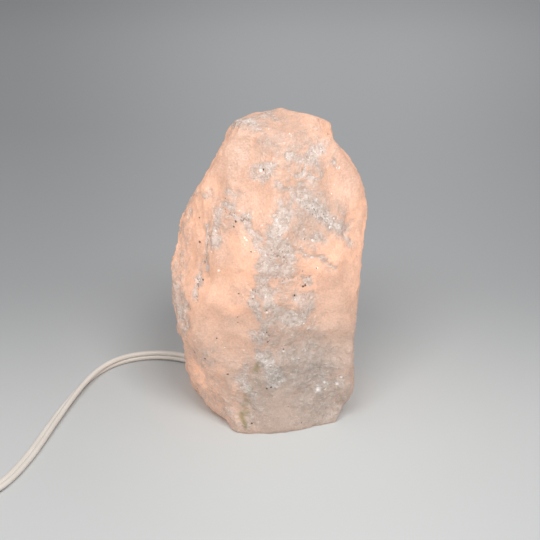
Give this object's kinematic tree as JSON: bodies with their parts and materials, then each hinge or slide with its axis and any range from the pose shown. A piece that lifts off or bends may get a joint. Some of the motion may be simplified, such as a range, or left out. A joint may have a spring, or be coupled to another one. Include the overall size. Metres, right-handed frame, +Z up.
{
  "type": "quartz crystal lamp",
  "caption": "Rough cleaved quartz stone lamp, standing over a clip-in screw holder and small bulb, on a flat white twin lead with a rocker switch and a blade plug.",
  "frame": {"origin": "centre of the stone's base, on the surface it stands on", "axes": "+Z up along the lamp hole, -Y towards the pictured front, the lead leaves towards -X"},
  "size_m": [0.3226, 0.1604, 0.157],
  "materials": {
    "quartz": "rough cleaved natural quartz, lit from inside",
    "holder_plastic": "moulded",
    "white_pvc": "soft satin",
    "white_plastic": "moulded",
    "rocker_plastic": "moulded",
    "tie_plastic": "flat band",
    "brass": "pressed",
    "copper": "stranded wire",
    "spring_steel": "rolled",
    "solder": "dull",
    "dark_glass": "glossy",
    "bulb_glass": "clear, lit",
    "stem_glass": "clear",
    "filament": "glowing"
  },
  "bodies": {
    "lamp_unit": {"holder_cap": "holder_plastic", "holder_body": "holder_plastic", "strain_relief": "white_pvc", "screw_shell": "brass", "centre_contact": "brass", "terminal_screw_1": "brass", "terminal_screw_2": "brass", "lead_end_1": "copper", "lead_end_2": "copper", "spring_clip_1": "spring_steel", "spring_clip_2": "spring_steel", "clip_rivet_1": "spring_steel", "clip_rivet_2": "spring_steel", "cord_run": "white_pvc", "cord_coil": "white_pvc", "coil_tie": "tie_plastic", "switch_bottom": "white_plastic", "switch_top": "white_plastic", "switch_screw_1": "spring_steel", "switch_screw_2": "spring_steel", "switch_contact_1": "brass", "switch_contact_2": "brass", "plug_relief": "white_pvc", "plug_body": "white_pvc", "plug_blade_1": "brass", "plug_blade_2": "brass"},
    "stone": {"quartz_body": "quartz"},
    "bulb": {"bulb_tip": "solder", "bulb_insulator": "dark_glass", "bulb_cap": "brass", "bulb_glass": "bulb_glass", "bulb_stem": "stem_glass", "bulb_filament": "filament", "bulb_support_1": "spring_steel", "bulb_support_2": "spring_steel"},
    "rocker": {"switch_rocker": "rocker_plastic"}
  },
  "joints": [
    {"name": "stone_lift", "type": "slide", "parent": "lamp_unit", "child": "stone", "axis": [0, 0, 1], "range_m": [0, 0.1]},
    {"name": "bulb_turn", "type": "hinge", "parent": "lamp_unit", "child": "bulb", "pos_m": [0, 0, 0.03], "axis": [0, 0, 1], "range_deg": [0, 360]},
    {"name": "switch_rock", "type": "hinge", "parent": "lamp_unit", "child": "rocker", "pos_m": [-0.1812, -0.1029, 0.0114], "axis": [0, 1, 0], "range_deg": [0, 24]}
  ]
}
